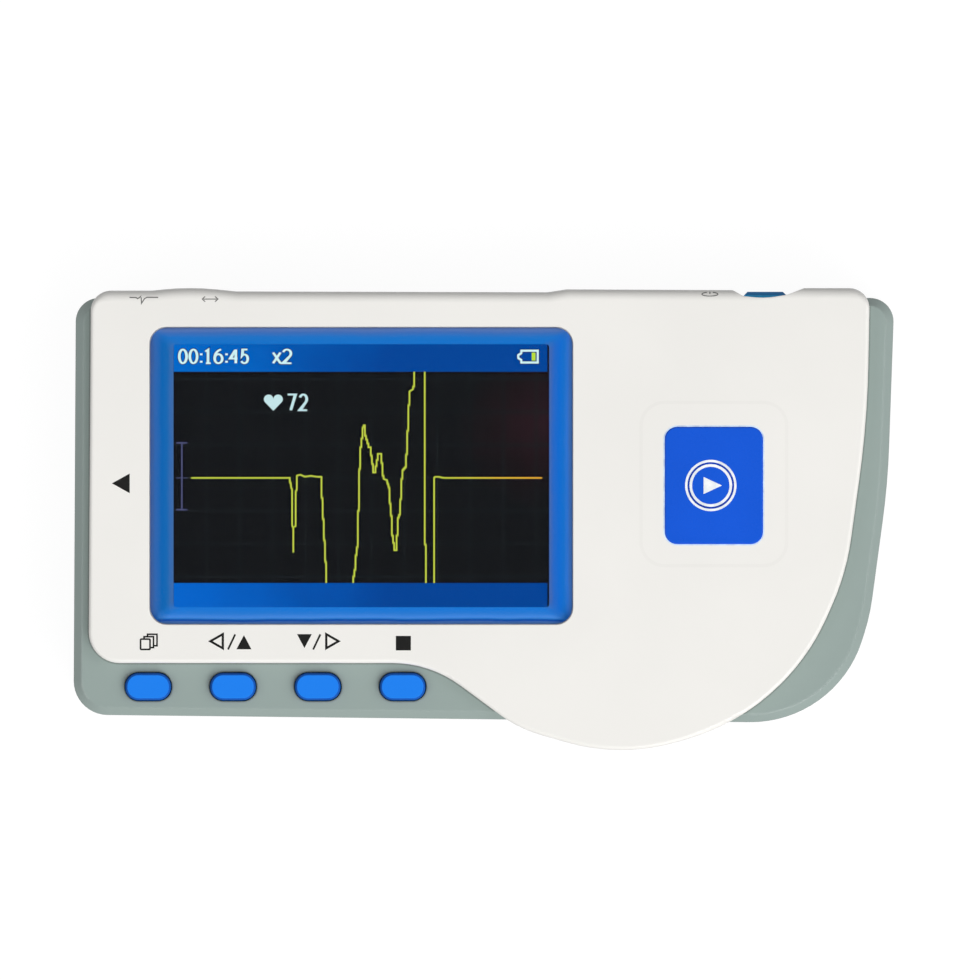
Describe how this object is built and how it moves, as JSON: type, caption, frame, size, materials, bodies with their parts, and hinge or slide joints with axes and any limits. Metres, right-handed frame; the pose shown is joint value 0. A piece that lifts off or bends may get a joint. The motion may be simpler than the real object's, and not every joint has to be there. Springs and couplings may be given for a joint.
{
  "type": "handheld ecg home monitor",
  "caption": "Handheld ECG home monitor with a lit screen, a row of menu keys, a large measure key, steel electrodes, sockets and a sliding battery cover.",
  "frame": {"origin": "on the back face, at the middle of the bounding box in length and width", "axes": "+X to the right of the screen along the length, +Y towards the socket side, +Z out of the front; the monitor lies on its back"},
  "size_m": [0.1252, 0.0704, 0.0202],
  "materials": {
    "white_plastic": "glossy moulded",
    "grey_plastic": "glossy moulded",
    "blue_key": "glossy",
    "clear_window": "polished",
    "window_print": "printed film",
    "screen": "lit liquid crystal panel",
    "inner_plastic": "matt",
    "foam": "foam",
    "board": "solder mask",
    "chip": "moulded package",
    "silicone": "silicone",
    "flex": "polyimide film",
    "steel": "brushed",
    "spring_steel": "nickel plated",
    "battery_jacket": "printed jacket"
  },
  "bodies": {
    "case": {"front_shell": "grey_plastic", "fascia": "white_plastic", "back_shell": "grey_plastic", "window_lens": "clear_window", "window_mask": "window_print", "lcd_gasket": "foam", "lcd_glass": "screen", "lcd_backlight": "inner_plastic", "lcd_flex": "flex", "main_board": "board", "menu_switches": "steel", "keypad_mat": "silicone", "measure_switch": "chip", "power_switch": "chip", "input_shield": "steel", "processor": "chip", "memory_chip": "chip", "buzzer": "chip", "battery_1": "battery_jacket", "battery_2": "battery_jacket", "battery_spring_1": "spring_steel", "battery_spring_2": "spring_steel", "contact_plates_left": "spring_steel", "contact_plates_right": "spring_steel", "index_electrode": "steel", "middle_electrode": "steel", "palm_electrode": "steel", "electrode_springs": "spring_steel", "usb_socket": "steel", "lead_socket": "steel", "case_screws": "steel", "board_screws": "steel"},
    "menu_key": {"menu_key": "blue_key"},
    "left_key": {"left_key": "blue_key"},
    "right_key": {"right_key": "blue_key"},
    "stop_key": {"stop_key": "blue_key"},
    "measure_key": {"measure_key": "white_plastic", "measure_inlay": "blue_key"},
    "power_key": {"power_key": "blue_key"},
    "battery_door": {"battery_door": "grey_plastic"}
  },
  "joints": [
    {"name": "menu_key_press", "type": "slide", "parent": "case", "child": "menu_key", "axis": [0, 0, -1], "range_m": [0, 0.0004], "stiffness_N_per_m": 800, "springref_m": -0.0006},
    {"name": "left_key_press", "type": "slide", "parent": "case", "child": "left_key", "axis": [0, 0, -1], "range_m": [0, 0.0004], "stiffness_N_per_m": 800, "springref_m": -0.0006},
    {"name": "right_key_press", "type": "slide", "parent": "case", "child": "right_key", "axis": [0, 0, -1], "range_m": [0, 0.0004], "stiffness_N_per_m": 800, "springref_m": -0.0006},
    {"name": "stop_key_press", "type": "slide", "parent": "case", "child": "stop_key", "axis": [0, 0, -1], "range_m": [0, 0.0004], "stiffness_N_per_m": 800, "springref_m": -0.0006},
    {"name": "measure_key_press", "type": "slide", "parent": "case", "child": "measure_key", "axis": [0, 0, -1], "range_m": [0, 0.0004], "stiffness_N_per_m": 1000, "springref_m": -0.0006},
    {"name": "power_key_press", "type": "slide", "parent": "case", "child": "power_key", "axis": [0, -1, 0], "range_m": [0, 0.0004], "stiffness_N_per_m": 800, "springref_m": -0.0006},
    {"name": "battery_door_slide", "type": "slide", "parent": "case", "child": "battery_door", "axis": [0, -1, 0], "range_m": [0, 0.036]}
  ]
}
